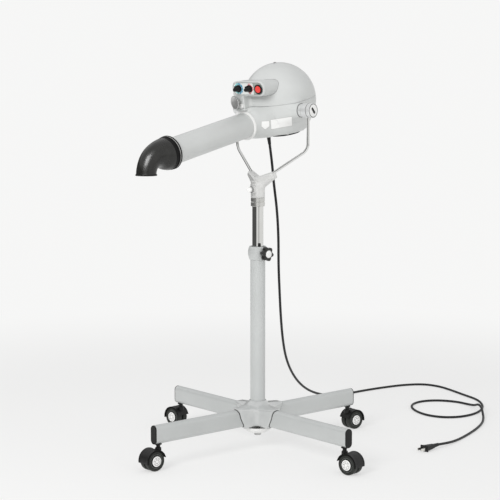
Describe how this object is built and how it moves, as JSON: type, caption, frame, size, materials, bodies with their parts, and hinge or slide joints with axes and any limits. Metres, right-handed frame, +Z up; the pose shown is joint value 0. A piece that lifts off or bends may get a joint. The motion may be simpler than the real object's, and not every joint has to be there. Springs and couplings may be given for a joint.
{
  "type": "pet dryer",
  "caption": "Floor-standing pet grooming dryer: domed blower head with a long air tube and turning elbow nozzle, held in a forked yoke on a telescopic pole with a castered star base.",
  "frame": {"origin": "on the floor under the pole's axis", "axes": "+Z up along the pole; -Y is the way the air tube points, seen from above; X runs along the head's tilt axis, the height knob on the +X side"},
  "size_m": [0.7278, 1.3242, 0.9886],
  "materials": {
    "silver_paint": "satin metallic silver-grey paint",
    "silver_casting": "satin cast",
    "chrome_tube": "polished",
    "steel": "plain",
    "black_plastic": "moulded",
    "black_gloss": "moulded, glossy",
    "grey_plastic": "moulded",
    "panel_silver": "pale silver, glossy",
    "red_plastic": "glossy",
    "white_plastic": "glossy",
    "wheel_rubber": "matt",
    "cord_rubber": "matt",
    "brass": "plated",
    "coil_wire": "resistance wire"
  },
  "bodies": {
    "base": {"base_hub": "silver_casting", "hub_cap": "silver_casting", "hub_bolt": "steel", "leg_front_left": "silver_paint", "leg_front_right": "silver_paint", "leg_back_left": "silver_paint", "leg_back_right": "silver_paint", "leg_end_caps": "black_plastic", "leg_screws": "steel", "stem_sockets": "black_plastic", "outer_pole": "silver_paint", "pole_collar": "silver_casting", "pole_bush": "black_plastic", "hanging_cord": "cord_rubber", "floor_cord": "cord_rubber", "plug": "black_plastic", "plug_pins": "brass"},
    "height_knob": {"height_knob": "black_plastic", "height_knob_cap": "white_plastic"},
    "mast": {"mast_tube": "chrome_tube", "mast_foot_plug": "black_plastic", "mast_collar": "chrome_tube"},
    "yoke": {"yoke_casting": "silver_casting", "yoke_rod_left": "chrome_tube", "yoke_rod_right": "chrome_tube", "rod_end_hubs": "silver_casting"},
    "swivel_screw": {"swivel_screw": "steel"},
    "tilt_screw_left": {"tilt_screw_left": "steel"},
    "tilt_knob_right": {"tilt_knob_right": "silver_casting"},
    "head": {"upper_housing": "silver_paint", "lower_housing": "silver_paint", "control_panel": "panel_silver", "switch_bezel": "black_plastic", "air_tube": "silver_paint", "tube_collar": "silver_paint", "intake_grille": "silver_paint", "motor_can": "steel", "motor_bracket": "steel", "heater_frame": "steel", "heater_coil": "coil_wire", "cord_gland": "black_plastic", "pivot_bosses": "silver_paint", "friction_washers": "silver_casting", "housing_screws": "steel"},
    "fan": {"impeller": "grey_plastic", "motor_shaft": "steel"},
    "nozzle": {"elbow_nozzle": "black_gloss", "nozzle_rim": "black_gloss"},
    "speed_knob": {"speed_knob": "black_plastic"},
    "heat_knob": {"heat_knob": "black_plastic"},
    "power_button": {"power_button": "red_plastic"},
    "tube_lock_knob": {"tube_lock_knob": "silver_casting"},
    "caster_front_left": {"caster_hood_front_left": "black_plastic"},
    "wheels_front_left": {"caster_wheels_front_left": "wheel_rubber"},
    "caster_front_right": {"caster_hood_front_right": "black_plastic"},
    "wheels_front_right": {"caster_wheels_front_right": "wheel_rubber"},
    "caster_back_right": {"caster_hood_back_right": "black_plastic"},
    "wheels_back_right": {"caster_wheels_back_right": "wheel_rubber"},
    "caster_back_left": {"caster_hood_back_left": "black_plastic"},
    "wheels_back_left": {"caster_wheels_back_left": "wheel_rubber"}
  },
  "joints": [
    {"name": "height_slide", "type": "slide", "parent": "base", "child": "mast", "axis": [0, 0, 1], "range_m": [-0.085, 0.24], "deforming": ["hanging_cord"]},
    {"name": "yoke_swivel", "type": "hinge", "parent": "mast", "child": "yoke", "pos_m": [0, 0, 0.67], "axis": [0, 0, 1], "range_deg": [-170, 170]},
    {"name": "head_tilt", "type": "hinge", "parent": "yoke", "child": "head", "pos_m": [0, 0.053, 0.868], "axis": [1, 0, 0], "range_deg": [-50, 35]},
    {"name": "nozzle_turn", "type": "hinge", "parent": "head", "child": "nozzle", "pos_m": [-0.036, -0.28635, 0.77106], "axis": [0, -0.9789, -0.2045], "continuous": true},
    {"name": "fan_spin", "type": "hinge", "parent": "head", "child": "fan", "pos_m": [0, 0.08922, 0.87557], "axis": [0, -0.2045, 0.9789], "continuous": true},
    {"name": "heat_knob_turn", "type": "hinge", "parent": "head", "child": "heat_knob", "pos_m": [0.008, -0.03905, 0.92232], "axis": [0, -0.9789, -0.2045], "range_deg": [0, 270]},
    {"name": "speed_knob_turn", "type": "hinge", "parent": "head", "child": "speed_knob", "pos_m": [-0.028, -0.03905, 0.92232], "axis": [0, -0.9789, -0.2045], "range_deg": [0, 270]},
    {"name": "power_button_press", "type": "slide", "parent": "head", "child": "power_button", "axis": [0, 0.9789, 0.2045], "range_m": [0, 0.0025], "stiffness_N_per_m": 400},
    {"name": "tube_lock_turn", "type": "hinge", "parent": "head", "child": "tube_lock_knob", "pos_m": [-0.036, -0.03204, 0.88875], "axis": [-0.2924, -0.9361, -0.1956], "range_deg": [0, 360]},
    {"name": "tilt_screw_left_turn", "type": "hinge", "parent": "head", "child": "tilt_screw_left", "pos_m": [-0.11, 0.053, 0.868], "axis": [-1, 0, 0], "range_deg": [0, 360]},
    {"name": "tilt_knob_right_turn", "type": "hinge", "parent": "head", "child": "tilt_knob_right", "pos_m": [0.11, 0.053, 0.868], "axis": [1, 0, 0], "range_deg": [0, 360]},
    {"name": "height_knob_turn", "type": "hinge", "parent": "base", "child": "height_knob", "pos_m": [0.02966, -0.00449, 0.507], "axis": [0.9888, -0.1495, 0], "range_deg": [0, 360]},
    {"name": "screw_turn", "type": "hinge", "parent": "yoke", "child": "swivel_screw", "pos_m": [0, -0.025, 0.6695], "axis": [0, -1, 0], "range_deg": [0, 360]},
    {"name": "swivel_front_left", "type": "hinge", "parent": "base", "child": "caster_front_left", "pos_m": [-0.048, -0.31739, 0.07], "axis": [0, 0, 1], "continuous": true},
    {"name": "wheel_front_left", "type": "hinge", "parent": "caster_front_left", "child": "wheels_front_left", "pos_m": [-0.05063, -0.3352, 0.025], "axis": [0.9893, -0.1461, 0], "continuous": true},
    {"name": "swivel_front_right", "type": "hinge", "parent": "base", "child": "caster_front_right", "pos_m": [0.31739, -0.048, 0.07], "axis": [0, 0, 1], "continuous": true},
    {"name": "wheel_front_right", "type": "hinge", "parent": "caster_front_right", "child": "wheels_front_right", "pos_m": [0.33539, -0.04784, 0.025], "axis": [-0.0087, 1, 0], "continuous": true},
    {"name": "swivel_back_right", "type": "hinge", "parent": "base", "child": "caster_back_right", "pos_m": [0.048, 0.31739, 0.07], "axis": [0, 0, 1], "continuous": true},
    {"name": "wheel_back_right", "type": "hinge", "parent": "caster_back_right", "child": "wheels_back_right", "pos_m": [0.05174, 0.335, 0.025], "axis": [-0.9781, 0.2079, 0], "continuous": true},
    {"name": "swivel_back_left", "type": "hinge", "parent": "base", "child": "caster_back_left", "pos_m": [-0.31739, 0.048, 0.07], "axis": [0, 0, 1], "continuous": true},
    {"name": "wheel_back_left", "type": "hinge", "parent": "caster_back_left", "child": "wheels_back_left", "pos_m": [-0.33537, 0.04894, 0.025], "axis": [-0.0523, -0.9986, 0], "continuous": true}
  ]
}
